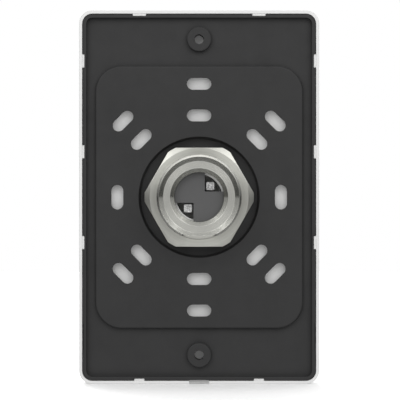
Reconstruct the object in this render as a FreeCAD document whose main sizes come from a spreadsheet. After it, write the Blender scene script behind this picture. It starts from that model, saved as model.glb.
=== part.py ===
"""A wall push button for pedestrians: a clip-on cover and a moulded back plate round a 22 mm operator.

Frame: +Z is up, the button faces -Y and the wall is at +Y. The origin is where the operator's axis
meets the wall plane, so a depth d in front of the wall is y = -d. All lengths are in millimetres.
"""

import FreeCAD, Part
import math
import os

import Sketcher
from FreeCAD import Rotation, Vector

doc = FreeCAD.newDocument("push_button")
sheet = doc.addObject("Spreadsheet::Sheet", "Sizes")

SIZES = {
    # Cover
    "cover_width": (63.4, "cover, overall width"),
    "cover_height": (98.6, "cover, overall height"),
    "cover_corner": (3.4, "cover, corner radius seen from the front"),
    "cover_rim_wall": (0.8, "cover, thin wall beside the back plate"),
    "cover_front_wall": (2.0, "cover, front wall"),
    "cover_front_round": (1.4, "cover, rounding of its front edge"),
    "cover_fit": (0.2, "clearance between the cover and the back plate"),
    "cover_setback": (0.2, "cover's rear edge in front of the wall"),
    "pad_gap": (0.3, "cover's inner pad, clearance behind the raised panel"),
    "pry_width": (5.2, "screwdriver notch in the cover's bottom wall"),
    "pry_depth": (2.4, "screwdriver notch, from the rear edge forward"),
    # Back plate
    "plate_wall": (1.8, "back plate, wall"),
    "plate_corner": (2.5, "back plate, corner radius"),
    "rim_wall": (0.9, "back plate, width of the rim on the wall"),
    "tray_depth": (1.4, "back plate, floor in front of the wall"),
    "panel_side": (3.2, "raised panel, distance from the plate's sides"),
    "panel_end": (13.55, "raised panel, distance from the plate's ends"),
    "panel_corner": (7.0, "raised panel, corner radius"),
    "panel_round": (0.6, "raised panel, rounding of its edge"),
    "boss_radius": (3.3, "screw boss, radius"),
    "boss_inset": (6.55, "screw boss, centre from the plate's end"),
    "boss_hole": (1.25, "screw boss, hole radius"),
    "boss_round": (0.4, "screw boss, rounding of its edge"),
    "recess_depth": (2.5, "nut recess, depth"),
    "recess_wall": (1.3, "nut recess, wall in front of the plate"),
    "recess_draft": (0.5, "nut recess, how much its floor is smaller in radius"),
    "spanner_room": (1.625, "nut recess, clearance round the nut's corners"),
    "barrel_hole_fit": (0.15, "back plate, clearance round the barrel"),
    "slot_width": (3.25, "fixing slots, width"),
    "slot_length": (6.5, "fixing slots, overall length"),
    "slot_ring_gap": (5.65, "inner slots, centre line from the recess"),
    "slot_pair": (60.0, "outer upright pair of slots, spacing"),
    "slot_step": (6.85, "outer slanted slots, further out than the inner ring"),
    "notch_depth": (0.5, "snap notches, into the rim"),
    "notch_reach": (1.3, "snap notches, from the wall forward"),
    "notch_width": (3.7, "snap notches at the sides and the top"),
    "notch_narrow": (2.9, "snap notches at the bottom"),
    "notch_pitch": (15.8, "snap notches at the ends, off the middle"),
    "side_notch_top": (12.3, "uppermost side notch, from the plate's top"),
    "side_notch_step": (24.0, "side notches, spacing"),
    "relief_length": (7.5, "finger relief on the rim, length"),
    "relief_depth": (0.2, "finger relief on the rim, depth"),
    "barb_fit": (0.1, "clearance round each snap barb of the cover"),
    # Operator body
    "barrel_radius": (11.0, "threaded barrel, radius over the thread"),
    "barrel_reach": (9.0, "threaded barrel, behind the wall plane"),
    "barrel_chamfer": (0.56, "threaded barrel, chamfer at its rear edge"),
    "flat_depth": (1.1, "locating flat, depth into the barrel"),
    "latch_gap": (0.5, "latch groove for the contact block's collar, behind the nut"),
    "latch_width": (0.8, "latch groove, width"),
    "latch_depth": (0.7, "latch groove, depth"),
    "ledge_inset": (1.7, "ledge in the socket, outer edge inside the barrel's surface"),
    "ledge_drop": (0.95, "ledge in the socket, below the rear end"),
    "cone_width": (1.05, "cone below the ledge, width"),
    "cone_drop": (0.9, "cone below the ledge, depth"),
    "socket_depth": (3.6, "socket for the contact block, depth"),
    "flange_width": (6.0, "front flange, radius over the barrel's"),
    "flange_thickness": (1.7, "front flange, thickness"),
    "cup_step": (1.6, "front cup, smaller in radius than the flange"),
    "cup_wall": (1.5, "front cup, wall"),
    "gasket_thickness": (1.0, "panel gasket, thickness"),
    # Nut and washer
    "nut_wall": (2.0, "hex nut, least wall round the thread"),
    "nut_thickness": (4.2, "hex nut, thickness"),
    "nut_corner": (1.375, "hex nut, turned corners beyond the flats"),
    "nut_chamfer": (0.82, "hex nut, depth of the turned chamfer"),
    "washer_thickness": (0.8, "toothed washer, thickness"),
    "tooth_depth": (1.1, "toothed washer, depth of its teeth"),
    "tooth_gap": (0.9, "toothed washer, gap between its teeth"),
    "thread_fit": (0.03, "clearance of a threaded or seated pair"),
    # Bezel and seals
    "bezel_overhang": (0.5, "bezel ring, larger in radius than the flange"),
    "bezel_lip": (3.0, "bezel ring, thickness of its lip"),
    "lip_width": (1.15, "bezel ring, lip over the cup's bore"),
    "bezel_round": (0.9, "bezel ring, rounding of its outer edge"),
    "bezel_gap": (0.3, "clearance between the bezel and the cover's hole"),
    "o_ring_wire": (0.55, "bezel O-ring, section radius"),
    "seal_height": (1.2, "cap seal groove, height"),
    "seal_depth": (1.25, "cap seal groove, depth"),
    "seal_lip_fit": (0.07, "cap seal, clearance on the cap"),
    # Button
    "travel": (2.8, "button, travel"),
    "cap_fit": (0.15, "button cap, clearance in the bezel"),
    "cap_wall": (0.8, "button cap, wall"),
    "cap_stand": (0.6, "button cap, edge in front of the bezel"),
    "dome_rise": (1.8, "button cap, height of its dome"),
    "core_flange": (1.3, "cap core, flange thickness"),
    "core_gap": (0.3, "cap core, clearance in the cup"),
    "stop_gap": (0.05, "cap core, clearance at its stop"),
    "bump_thickness": (0.8, "bump ring, thickness"),
    "bump_gap": (0.05, "bump ring, clearance under the pressed button"),
    # Plunger group
    "sleeve_bore": (6.0, "guide sleeve, bore radius"),
    "sleeve_wall": (0.85, "guide sleeve, wall"),
    "sleeve_flange": (1.75, "guide sleeve, flange width"),
    "sleeve_flange_thickness": (1.15, "guide sleeve, flange thickness"),
    "sleeve_fit": (0.05, "guide sleeve, clearance in the barrel"),
    "sleeve_lip": (0.4, "guide sleeve, width of its end left bare by the barrel"),
    "disc_thickness": (1.2, "guide disc, thickness"),
    "disc_fit": (0.05, "guide disc, clearance in the barrel"),
    "window_inset": (1.47, "guide disc, windows from its centre lines"),
    "plunger_fit": (0.08, "plunger, running clearance in the sleeve"),
    "plunger_seat": (1.0, "plunger, front face behind the cup's floor"),
    "boss_clearance": (0.5, "cap core, boss clearance in the sleeve"),
    "key_width": (1.2, "plunger keys, width"),
    "key_height": (0.4, "plunger keys, height"),
    "key_fit": (0.08, "plunger keys, clearance in their grooves"),
    "stem_ring_wire": (0.5, "stem O-ring, section radius"),
    "stem_ring_fit": (0.02, "stem O-ring, clearance in the sleeve"),
    "foot_size": (2.15, "actuator feet, side"),
    "foot_offset": (2.9, "actuator feet, centre from both centre lines"),
    "foot_socket": (1.5, "actuator feet, depth of their sockets"),
    "foot_stand": (0.4, "actuator feet, rear end behind the disc's front face"),
    "foot_dimple": (0.55, "actuator feet, dimple radius"),
    "screw_radius": (1.25, "core screw, shank radius"),
    "screw_head": (2.25, "core screw, head radius"),
    "screw_head_height": (1.5, "core screw, head height"),
    "screw_length": (10.0, "core screw, shank length"),
    "screw_slot": (0.6, "core screw, slot width"),
    "screw_room": (1.1, "gap behind the screw head at full travel"),
    # Spring
    "spring_wire": (0.35, "return spring, wire radius"),
    "spring_turns": (3.5, "return spring, turns"),
    "seat_thickness": (0.5, "spring seat, thickness"),
    "pocket_wall": (0.5, "cap core, wall outside the spring pocket"),
    "pocket_roof": (0.8, "cap core, wall over the spring pocket"),
    "core_rib": (1.4, "cap core, wall inside the spring pocket"),
}

for row, (alias, (value, note)) in enumerate(SIZES.items(), start=1):
    sheet.set(f"A{row}", note)
    sheet.set(f"B{row}", str(value))
    sheet.setAlias(f"B{row}", alias)
doc.recompute()


class Size:
    """A length together with the sheet expression that gives it, so that sums of sizes keep both."""

    def __init__(self, value, text):
        self.value = value
        self.text = text

    @staticmethod
    def of(other):
        """The other side of a sum, which may be a bare number."""
        return other if isinstance(other, Size) else Size(float(other), str(float(other)))

    def __add__(self, other):
        other = Size.of(other)
        return Size(self.value + other.value, f"({self.text} + {other.text})")

    def __sub__(self, other):
        other = Size.of(other)
        return Size(self.value - other.value, f"({self.text} - {other.text})")

    def __mul__(self, factor):
        return Size(self.value * factor, f"({self.text} * {factor:.9f})")

    def __truediv__(self, divisor):
        return self * (1.0 / divisor)

    def __neg__(self):
        return self * -1.0


def size(alias):
    """The driving size with this name."""
    return Size(SIZES[alias][0], f"Sizes.{alias}")


ZERO = Size(0.0, "0")
OVERRUN = Size(1.0, "1")

# Cover and plate outlines
plate_margin = size("cover_rim_wall") + size("cover_fit")
plate_x = size("cover_width") / 2 - plate_margin
plate_z = size("cover_height") / 2 - plate_margin
panel_x = plate_x - size("panel_side")
panel_z = plate_z - size("panel_end")
boss_z = plate_z - size("boss_inset")
plate_front = size("tray_depth") + size("plate_wall")
cup_front_of_plate = size("recess_depth") + size("plate_wall")
cover_inside = plate_front + size("cover_fit")
cover_front = cover_inside + size("cover_front_wall")

# Operator, radii
barrel_r = size("barrel_radius")
nut_flat = barrel_r + size("nut_wall")
nut_r = nut_flat + size("nut_corner")
recess_r = nut_r + size("spanner_room")
flange_r = barrel_r + size("flange_width")
bezel_r = flange_r + size("bezel_overhang")
cup_outer_r = flange_r - size("cup_step")
cup_inner_r = cup_outer_r - size("cup_wall")
lip_r = cup_inner_r - size("lip_width")
cap_r = lip_r - size("cap_fit")
core_flange_r = cup_inner_r - size("core_gap")
core_plug_r = cap_r - size("cap_wall") - size("cap_fit") / 2
sleeve_r = size("sleeve_bore") + size("sleeve_wall")
bore_r = sleeve_r + size("sleeve_fit")
neck_r = size("sleeve_bore") + size("sleeve_lip") + size("disc_fit")
sleeve_flange_r = sleeve_r + size("sleeve_flange")
core_boss_r = size("sleeve_bore") - size("boss_clearance")
pocket_in_r = core_boss_r + size("core_rib")
pocket_out_r = core_plug_r - size("pocket_wall")
spring_r = (pocket_in_r + pocket_out_r) / 2
plunger_r = size("sleeve_bore") - size("plunger_fit")

# Operator, stations along Y
gasket_rear = -cup_front_of_plate
flange_rear = gasket_rear - size("gasket_thickness")
cup_floor = flange_rear - size("flange_thickness")
cup_depth = (
    size("core_flange") + size("travel") + size("bump_thickness") + size("stop_gap") + size("bump_gap")
)
cup_front = cup_floor - cup_depth
bezel_front = cup_front - size("bezel_lip")
core_front = cup_front + size("stop_gap")
core_rear = core_front + size("core_flange")
cap_edge = bezel_front - size("cap_stand")
cap_top = cap_edge - size("dome_rise")
core_top = cap_edge + size("cap_wall") + size("cap_fit") * 1.5
spring_front = core_top + size("pocket_roof")
spring_rear = cup_floor - size("seat_thickness")
disc_rear = size("barrel_reach") - size("socket_depth")
disc_front = disc_rear - size("disc_thickness")
plunger_front = cup_floor + size("plunger_seat")
plunger_rear = disc_front - size("travel") - size("screw_head_height") - size("screw_room")
washer_rear = size("washer_thickness") - size("recess_depth")
nut_rear = washer_rear + size("nut_thickness")


def bind(thing, **sizes):
    """Binds properties of an object to sheet expressions; a double underscore stands for a dot."""
    for name, length in sizes.items():
        thing.setExpression(name.replace("__", "."), length.text)


def plane_of(body, role):
    """One of a body's own origin planes or axes."""
    return next(feature for feature in body.Origin.OriginFeatures if feature.Role == role)


def new_body(label):
    body = doc.addObject("PartDesign::Body", label)
    body.Label = label
    return body


def face_sketch(body, name, depth):
    """A sketch parallel to the wall, depth in front of it. Its x is X, its y is Z, and it looks along -Y."""
    sketch = body.newObject("Sketcher::SketchObject", f"{body.Name}_{name}")
    sketch.AttachmentSupport = (plane_of(body, "XZ_Plane"), "")
    sketch.MapMode = "FlatFace"
    bind(sketch, AttachmentOffset__Base__z=depth)
    return sketch


def profile_sketch(body, name):
    """A sketch in the XY plane for a turned shape: its x is the radius and its y the station."""
    sketch = body.newObject("Sketcher::SketchObject", f"{body.Name}_{name}")
    sketch.AttachmentSupport = (plane_of(body, "XY_Plane"), "")
    sketch.MapMode = "FlatFace"
    return sketch


def dimension(sketch, kind, length, *where):
    """Adds a dimension and binds it to the sheet."""
    index = sketch.addConstraint(Sketcher.Constraint(kind, *where, length.value))
    sketch.setExpression(f"Constraints[{index}]", length.text)


def pin(sketch, geometry, point, x, y):
    """Places a point of a sketch at (x, y) from the origin; a zero puts it on the axis."""
    for kind, axis, length in (("DistanceX", -2, x), ("DistanceY", -1, y)):
        if length is ZERO:
            sketch.addConstraint(Sketcher.Constraint("PointOnObject", geometry, point, axis))
        else:
            dimension(sketch, kind, length, -1, 1, geometry, point)


def polygon(sketch, corners):
    """A closed outline of straight lines through the corners, each placed by its own sizes."""
    first = sketch.GeometryCount
    count = len(corners)
    places = [Vector(x.value, y.value, 0) for x, y in corners]
    for index in range(count):
        sketch.addGeometry(Part.LineSegment(places[index], places[(index + 1) % count]), False)
    for index in range(count):
        following = first + (index + 1) % count
        sketch.addConstraint(Sketcher.Constraint("Coincident", first + index, 2, following, 1))
    for index, (x, y) in enumerate(corners):
        pin(sketch, first + index, 1, x, y)


def circle(sketch, x, y, radius):
    index = sketch.addGeometry(Part.Circle(Vector(x.value, y.value, 0), Vector(0, 0, 1), radius.value), False)
    pin(sketch, index, 3, x, y)
    dimension(sketch, "Radius", radius, index)


def tangent_chain(sketch, shapes):
    """Joins lines and arcs end to end, each tangent to the next. Returns their numbers."""
    numbers = [sketch.addGeometry(shape, False) for shape in shapes]
    for index, number in enumerate(numbers):
        following = numbers[(index + 1) % len(numbers)]
        sketch.addConstraint(Sketcher.Constraint("Tangent", number, 2, following, 1))
    return numbers


def arc(x, y, radius, start, end):
    """A counter-clockwise arc, with its angles in degrees."""
    ring = Part.Circle(Vector(x, y, 0), Vector(0, 0, 1), radius)
    return Part.ArcOfCircle(ring, math.radians(start), math.radians(end))


def rounded_rectangle(sketch, half_x, half_y, radius):
    """A rectangle about the origin with rounded corners."""
    x, y, r = half_x.value, half_y.value, radius.value
    shapes = [
        Part.LineSegment(Vector(r - x, -y, 0), Vector(x - r, -y, 0)),
        arc(x - r, r - y, r, 270, 360),
        Part.LineSegment(Vector(x, r - y, 0), Vector(x, y - r, 0)),
        arc(x - r, y - r, r, 0, 90),
        Part.LineSegment(Vector(x - r, y, 0), Vector(r - x, y, 0)),
        arc(r - x, y - r, r, 90, 180),
        Part.LineSegment(Vector(-x, y - r, 0), Vector(-x, r - y, 0)),
        arc(r - x, r - y, r, 180, 270),
    ]
    low, first, right, second, high, third, left, fourth = tangent_chain(sketch, shapes)
    for number in (low, high):
        sketch.addConstraint(Sketcher.Constraint("Horizontal", number))
    for number in (right, left):
        sketch.addConstraint(Sketcher.Constraint("Vertical", number))
    for number in (second, third, fourth):
        sketch.addConstraint(Sketcher.Constraint("Equal", first, number))
    dimension(sketch, "Radius", radius, first)
    dimension(sketch, "DistanceX", half_x, -1, 1, right, 1)
    dimension(sketch, "DistanceX", -half_x, -1, 1, left, 1)
    dimension(sketch, "DistanceY", half_y, -1, 1, high, 1)
    dimension(sketch, "DistanceY", -half_y, -1, 1, low, 1)


def slot(sketch, x, y, angle):
    """A fixing slot centred at (x, y), its length turned by angle degrees from the x axis."""
    along = (size("slot_length") - size("slot_width")) / 2
    r = size("slot_width") / 2
    turn = math.radians(angle)
    ends = [(x + along * math.cos(turn) * side, y + along * math.sin(turn) * side) for side in (1, -1)]
    normal = Vector(-math.sin(turn), math.cos(turn), 0) * r.value
    far, near = (Vector(end_x.value, end_y.value, 0) for end_x, end_y in ends)
    shapes = [
        arc(far.x, far.y, r.value, angle - 90, angle + 90),
        Part.LineSegment(far + normal, near + normal),
        arc(near.x, near.y, r.value, angle + 90, angle + 270),
        Part.LineSegment(near - normal, far - normal),
    ]
    first, _, second, _ = tangent_chain(sketch, shapes)
    sketch.addConstraint(Sketcher.Constraint("Equal", first, second))
    dimension(sketch, "Radius", r, first)
    for number, (end_x, end_y) in zip((first, second), ends):
        dimension(sketch, "DistanceX", end_x, -1, 1, number, 3)
        dimension(sketch, "DistanceY", end_y, -1, 1, number, 3)


def pad(body, sketch, length):
    """Adds a sketch's outline as material, forward from the sketch."""
    feature = body.newObject("PartDesign::Pad", f"{sketch.Name}_pad")
    feature.Profile = sketch
    bind(feature, Length=length)
    doc.recompute()
    return feature


def pocket(body, sketch, length):
    """Cuts a sketch's outline forward from the sketch, and makes sure that it cut something."""
    before = body.Shape.Volume
    feature = body.newObject("PartDesign::Pocket", f"{sketch.Name}_pocket")
    feature.Profile = sketch
    feature.Reversed = True
    bind(feature, Length=length)
    doc.recompute()
    if body.Shape.Volume >= before:
        raise ValueError(f"{feature.Name} cuts nothing")
    return feature


def groove(body, name, corners):
    """Turns an outline away from a body, round the Y axis."""
    before = body.Shape.Volume
    sketch = profile_sketch(body, name)
    polygon(sketch, corners)
    feature = body.newObject("PartDesign::Groove", f"{sketch.Name}_groove")
    feature.Profile = sketch
    feature.ReferenceAxis = (sketch, ["V_Axis"])
    feature.Angle = 360.0
    doc.recompute()
    if body.Shape.Volume >= before:
        raise ValueError(f"{feature.Name} cuts nothing")


def turn(body, sketch):
    """Turns a profile sketch round the Y axis."""
    feature = body.newObject("PartDesign::Revolution", f"{sketch.Name}_turn")
    feature.Profile = sketch
    feature.ReferenceAxis = (sketch, ["V_Axis"])
    feature.Angle = 360.0
    doc.recompute()
    return feature


def turned(label, corners):
    """A body turned round the Y axis from (radius, station) corners."""
    body = new_body(label)
    sketch = profile_sketch(body, "profile")
    polygon(sketch, corners)
    turn(body, sketch)
    return body


def ring(label, inner, outer, rear, front):
    """A plain ring between two radii and two stations."""
    return turned(label, [(inner, rear), (outer, rear), (outer, front), (inner, front)])


def round_edges(body, radius, chosen):
    """Rounds the edges of a body that the chosen test picks."""
    base = body.Tip
    names = [f"Edge{n}" for n, edge in enumerate(base.Shape.Edges, start=1) if chosen(edge)]
    if not names:
        raise ValueError(f"{body.Label} has no such edge to round")
    feature = body.newObject("PartDesign::Fillet", f"{body.Name}_round{len(body.Group)}")
    feature.Base = (base, names)
    bind(feature, Radius=radius)
    doc.recompute()


def at_depth(depth, reach):
    """Picks edges that lie wholly in a plane at this depth and reach at least so far from the axis."""
    def chosen(edge):
        box = edge.BoundBox
        level = abs(box.YMin + depth.value) < 1e-4 and abs(box.YMax + depth.value) < 1e-4
        return level and max(abs(box.XMin), abs(box.XMax), abs(box.ZMin), abs(box.ZMax)) > reach.value
    return chosen


def inside_of(depth, half_x, half_z, other_z=ZERO):
    """Picks edges that lie wholly in a plane at this depth, inside a rectangle round (0, other_z)."""
    def chosen(edge):
        box = edge.BoundBox
        level = abs(box.YMin + depth.value) < 1e-4 and abs(box.YMax + depth.value) < 1e-4
        wide = max(abs(box.XMin), abs(box.XMax)) < half_x.value + 1e-3
        low, high = box.ZMin - other_z.value, box.ZMax - other_z.value
        return level and wide and max(abs(low), abs(high)) < half_z.value + 1e-3
    return chosen


def circle_at(radius, station):
    """Picks the round edges of one radius at one station."""
    def chosen(edge):
        box = edge.BoundBox
        round_edge = abs(box.XMax - radius.value) < 1e-3 and abs(box.YMin - station.value) < 1e-3
        return round_edge and abs(box.YMax - station.value) < 1e-3
    return chosen


def cylinder(label, radius, length, station, x=ZERO, z=ZERO):
    """A cylinder along +Y that starts at a station."""
    shape = doc.addObject("Part::Cylinder", label)
    shape.Placement.Rotation = Rotation(Vector(1, 0, 0), -90)
    bind(shape, Radius=radius, Height=length)
    bind(shape, Placement__Base__x=x, Placement__Base__y=station, Placement__Base__z=z)
    return shape


def block(label, half_x, half_z, rear, front, x=ZERO, z=ZERO):
    """A box centred at (x, z) that runs from its front station back to its rear one."""
    shape = doc.addObject("Part::Box", label)
    bind(shape, Length=half_x * 2, Width=rear - front, Height=half_z * 2)
    bind(shape, Placement__Base__x=x - half_x, Placement__Base__y=front, Placement__Base__z=z - half_z)
    return shape


def combined(kind, label, shapes):
    """A boolean of several shapes: kind is MultiFuse or MultiCommon."""
    result = doc.addObject(f"Part::{kind}", label)
    result.Shapes = shapes
    return result


def cut(label, base, tool):
    result = doc.addObject("Part::Cut", label)
    result.Base = base
    result.Tool = tool
    return result


def tab_places():
    """Where the cover snaps on: (x, z, half width, faces sideways) for each notch of the rim."""
    wide = size("notch_width") / 2
    narrow = size("notch_narrow") / 2
    places = []
    for side in (1, -1):
        places.append((size("notch_pitch") * side, plate_z, wide, False))
        places.append((size("notch_pitch") * side, -plate_z, narrow, False))
        for step in range(3):
            z = plate_z - size("side_notch_top") - size("side_notch_step") * float(step)
            places.append((plate_x * side, z, wide, True))
    return places


def edge_rectangle(sketch, place, inward, outward, trim):
    """A rectangle across the plate's edge at a tab place, made smaller by trim on both sides."""
    x, z, half_width, sideways = place
    half = half_width - trim
    across = x if sideways else z
    sign = 1.0 if across.value > 0 else -1.0
    low, high = across - inward * sign, across + outward * sign
    if sideways:
        polygon(sketch, [(low, z - half), (high, z - half), (high, z + half), (low, z + half)])
    else:
        polygon(sketch, [(x - half, low), (x + half, low), (x + half, high), (x - half, high)])


def make_back_plate():
    """The moulded plate: rim, tray floor, raised panel, nut recess, screw bosses, slots and notches."""
    body = new_body("back_plate")
    outline = face_sketch(body, "outline", ZERO)
    rounded_rectangle(outline, plate_x, plate_z, size("plate_corner"))
    pad(body, outline, plate_front)

    rim = size("rim_wall")
    tray = face_sketch(body, "tray", ZERO)
    rounded_rectangle(tray, plate_x - rim, plate_z - rim, size("plate_corner") - rim)
    pocket(body, tray, size("tray_depth"))

    panel = face_sketch(body, "panel", ZERO)
    rounded_rectangle(panel, panel_x, panel_z, size("panel_corner"))
    pad(body, panel, size("tray_depth"))
    round_edges(body, size("panel_round"), inside_of(ZERO, panel_x, panel_z))

    wall = size("plate_wall")
    coring = face_sketch(body, "coring", wall)
    rounded_rectangle(coring, panel_x - wall, panel_z - wall, size("panel_corner") - wall)
    pocket(body, coring, size("tray_depth") + OVERRUN)

    cup = face_sketch(body, "cup", ZERO)
    circle(cup, ZERO, ZERO, recess_r + size("recess_wall"))
    pad(body, cup, cup_front_of_plate)
    floor_r = recess_r - size("recess_draft")
    depth = -size("recess_depth")
    groove(body, "recess", [(ZERO, ZERO), (recess_r, ZERO), (floor_r, depth), (ZERO, depth)])

    bosses = face_sketch(body, "bosses", ZERO)
    for z in (boss_z, -boss_z):
        circle(bosses, ZERO, z, size("boss_radius"))
    pad(body, bosses, size("tray_depth"))
    around = size("boss_radius")
    for z in (boss_z, -boss_z):
        round_edges(body, size("boss_round"), inside_of(ZERO, around, around, z))

    holes = face_sketch(body, "holes", ZERO)
    circle(holes, ZERO, ZERO, barrel_r + size("barrel_hole_fit"))
    for z in (boss_z, -boss_z):
        circle(holes, ZERO, z, size("boss_hole"))
    pocket(body, holes, cup_front_of_plate + OVERRUN)

    slots = face_sketch(body, "slots", ZERO)
    inner = recess_r + size("slot_ring_gap")
    for step in range(8):
        turn_by = math.radians(45 * step)
        slot(slots, inner * math.cos(turn_by), inner * math.sin(turn_by), 45 * step + 90)
    for step in (1, 3, 5, 7):
        turn_by = math.radians(45 * step)
        outer = inner + size("slot_step")
        slot(slots, outer * math.cos(turn_by), outer * math.sin(turn_by), 45 * step + 90)
    for side in (1, -1):
        slot(slots, ZERO, size("slot_pair") / 2 * side, 0)
    pocket(body, slots, wall + OVERRUN)

    notches = face_sketch(body, "notches", ZERO)
    for place in tab_places():
        edge_rectangle(notches, place, size("notch_depth"), OVERRUN, ZERO)
    pocket(body, notches, size("notch_reach"))

    reliefs = face_sketch(body, "reliefs", ZERO)
    relief_z = plate_z - size("side_notch_top") - size("side_notch_step") * 3.0 - OVERRUN
    for side in (1, -1):
        place = (plate_x * side, relief_z, size("relief_length") / 2, True)
        edge_rectangle(reliefs, place, size("relief_depth"), OVERRUN, ZERO)
    pocket(body, reliefs, size("notch_reach") / 2)
    return body


def make_front_cover():
    """The clip-on cover: a shallow box with a round hole, a pad in the hollow panel and barbs at its rear edge."""
    body = new_body("front_cover")
    rear = size("cover_setback")
    outline = face_sketch(body, "outline", rear)
    half_x, half_z = size("cover_width") / 2, size("cover_height") / 2
    rounded_rectangle(outline, half_x, half_z, size("cover_corner"))
    pad(body, outline, cover_front - rear)
    round_edges(body, size("cover_front_round"), at_depth(cover_front, ZERO))

    fit = size("cover_fit")
    seat = face_sketch(body, "seat", rear)
    rounded_rectangle(seat, plate_x + fit, plate_z + fit, size("plate_corner") + fit)
    pocket(body, seat, cover_inside - rear)

    inset = size("plate_wall") + fit * 2.0
    inner_pad = face_sketch(body, "pad", size("plate_wall") + size("pad_gap"))
    rounded_rectangle(inner_pad, panel_x - inset, panel_z - inset, size("panel_corner") - inset)
    pad(body, inner_pad, cover_inside - size("plate_wall") - size("pad_gap"))

    hole = face_sketch(body, "hole", rear)
    circle(hole, ZERO, ZERO, bezel_r + size("bezel_gap"))
    pocket(body, hole, cover_front + OVERRUN)

    trim = size("barb_fit")
    barbs = face_sketch(body, "barbs", rear + trim)
    for place in tab_places():
        edge_rectangle(barbs, place, size("notch_depth") - trim, plate_margin - fit, trim)
    pad(body, barbs, size("notch_reach") - rear - trim * 2)

    pry = face_sketch(body, "pry", rear)
    half = size("pry_width") / 2
    low, high = -half_z - OVERRUN, -plate_z - fit / 2
    polygon(pry, [(-half, low), (half, low), (half, high), (-half, high)])
    pocket(body, pry, size("pry_depth"))
    return body


def make_barrel():
    """The nickel-plated operator body: threaded barrel, stepped socket at the rear, flange and cup in front."""
    reach = size("barrel_reach")
    crest_r = barrel_r - size("barrel_chamfer")
    latch_r = barrel_r - size("latch_depth")
    latch_front = nut_rear + size("latch_gap")
    latch_rear = latch_front + size("latch_width")
    ledge_out = barrel_r - size("ledge_inset")
    ledge_in = neck_r + size("cone_width")
    ledge = reach - size("ledge_drop")
    neck = ledge - size("cone_drop")
    counter_r = sleeve_flange_r + size("sleeve_fit") * 2
    counter = cup_floor + size("sleeve_flange_thickness") + size("sleeve_fit")
    body = turned(
        "barrel",
        [
            (crest_r, reach),
            (barrel_r, reach - size("barrel_chamfer")),
            (barrel_r, latch_rear),
            (latch_r, latch_rear),
            (latch_r, latch_front),
            (barrel_r, latch_front),
            (barrel_r, flange_rear),
            (flange_r, flange_rear),
            (flange_r, cup_floor),
            (cup_outer_r, cup_floor),
            (cup_outer_r, cup_front),
            (cup_inner_r, cup_front),
            (cup_inner_r, cup_floor),
            (counter_r, cup_floor),
            (counter_r, counter),
            (bore_r, counter),
            (bore_r, disc_front),
            (neck_r, disc_front),
            (neck_r, neck),
            (ledge_in, ledge),
            (ledge_out, ledge),
        ],
    )
    flat = face_sketch(body, "flat", -reach)
    low, high = -barrel_r - OVERRUN, size("flat_depth") - barrel_r
    polygon(flat, [(-barrel_r, low), (barrel_r, low), (barrel_r, high), (-barrel_r, high)])
    pocket(body, flat, reach - nut_rear)
    return body


def make_hex_nut():
    """The nut: a hexagonal prism cut down to a turned blank with chamfered ends."""
    prism = doc.addObject("Part::Prism", "nut_prism")
    prism.Polygon = 6
    prism.Placement.Rotation = Rotation(Vector(1, 0, 0), -90)
    bind(prism, Circumradius=nut_flat / math.cos(math.pi / 6), Height=size("nut_thickness"))
    bind(prism, Placement__Base__y=washer_rear)
    bore = barrel_r + size("thread_fit")
    chamfer = size("nut_chamfer")
    blank = turned(
        "nut_blank",
        [
            (bore, nut_rear),
            (nut_flat, nut_rear),
            (nut_r, nut_rear - chamfer),
            (nut_r, washer_rear + chamfer),
            (nut_flat, washer_rear),
            (bore, washer_rear),
        ],
    )
    return combined("MultiCommon", "hex_nut", [prism, blank])


def make_lock_washer():
    """The toothed washer under the nut."""
    outer = nut_flat - size("thread_fit")
    body = ring("lock_washer", barrel_r + size("barrel_hole_fit"), outer, washer_rear, -size("recess_depth"))
    notch = face_sketch(body, "tooth_gap", -washer_rear)
    half = size("tooth_gap") / 2
    low, high = outer - size("tooth_depth"), outer + OVERRUN
    polygon(notch, [(-half, low), (half, low), (half, high), (-half, high)])
    gap = pocket(body, notch, size("washer_thickness"))
    one_gap = body.Shape.Volume
    teeth = body.newObject("PartDesign::PolarPattern", "washer_teeth")
    teeth.Originals = [gap]
    teeth.Axis = (plane_of(body, "Y_Axis"), [""])
    teeth.Angle = 360.0
    teeth.Occurrences = 24
    body.Tip = teeth
    doc.recompute()
    if body.Shape.Volume >= one_gap:
        raise ValueError("the washer's teeth weren't repeated")
    return body


def make_bezel_ring():
    """The ring screwed on the cup, whose lip holds the button in."""
    lip_mouth = size("cap_wall")
    groove_front = cup_front - size("bezel_lip") / 2 - size("seal_height") / 2
    groove_rear = groove_front + size("seal_height")
    ring_room = size("o_ring_wire") * 2
    thread = cup_outer_r + size("thread_fit")
    rear = cup_floor - size("thread_fit")
    body = turned(
        "bezel_ring",
        [
            (thread + ring_room, rear),
            (bezel_r, rear),
            (bezel_r, bezel_front),
            (lip_r + lip_mouth, bezel_front),
            (lip_r, bezel_front + lip_mouth / 2),
            (lip_r, groove_front),
            (lip_r + size("seal_depth"), groove_front),
            (lip_r + size("seal_depth"), groove_rear),
            (lip_r, groove_rear),
            (lip_r, cup_front),
            (thread, cup_front),
            (thread, rear - ring_room),
            (thread + ring_room, rear - ring_room),
        ],
    )
    round_edges(body, size("bezel_round"), circle_at(bezel_r, bezel_front))
    return body


def make_o_ring(label, middle_r, wire_r, station):
    """A rubber ring of round section about the Y axis."""
    shape = doc.addObject("Part::Torus", label)
    shape.Placement.Rotation = Rotation(Vector(1, 0, 0), -90)
    bind(shape, Radius1=middle_r, Radius2=wire_r, Placement__Base__y=station)
    return shape


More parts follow.
